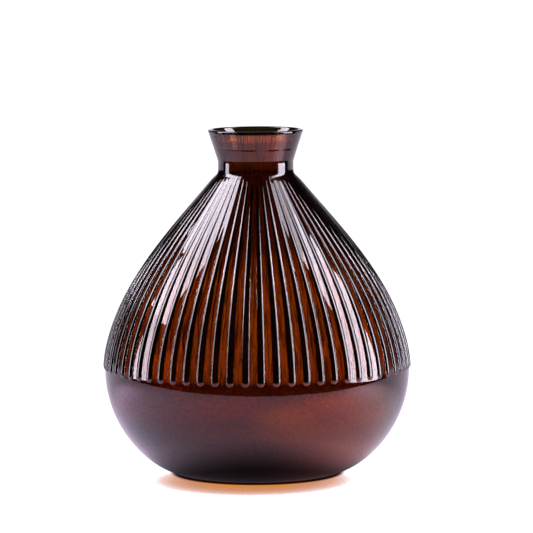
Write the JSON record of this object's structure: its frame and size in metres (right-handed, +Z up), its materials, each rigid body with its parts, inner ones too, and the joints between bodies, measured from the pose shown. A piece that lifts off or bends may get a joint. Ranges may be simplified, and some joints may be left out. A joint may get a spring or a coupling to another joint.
{
  "type": "bud vase",
  "caption": "Round glass bud vase with a ribbed, sloping shoulder, a short neck and a flared collar, standing on a flat ring.",
  "frame": {"origin": "centre of the flat ring that the vase stands on, at table level", "axes": "+Z runs up the vase's axis, out of the mouth; +X is to the right as seen from the front, and -Y is towards the front"},
  "size_m": [0.1342, 0.1342, 0.15],
  "materials": {
    "brown_glass": "gloss"
  },
  "bodies": {
    "root": {"lip": "brown_glass", "collar": "brown_glass", "neck": "brown_glass", "shoulder": "brown_glass", "shoulder_ribs": "brown_glass", "bowl": "brown_glass", "base": "brown_glass"}
  },
  "joints": []
}
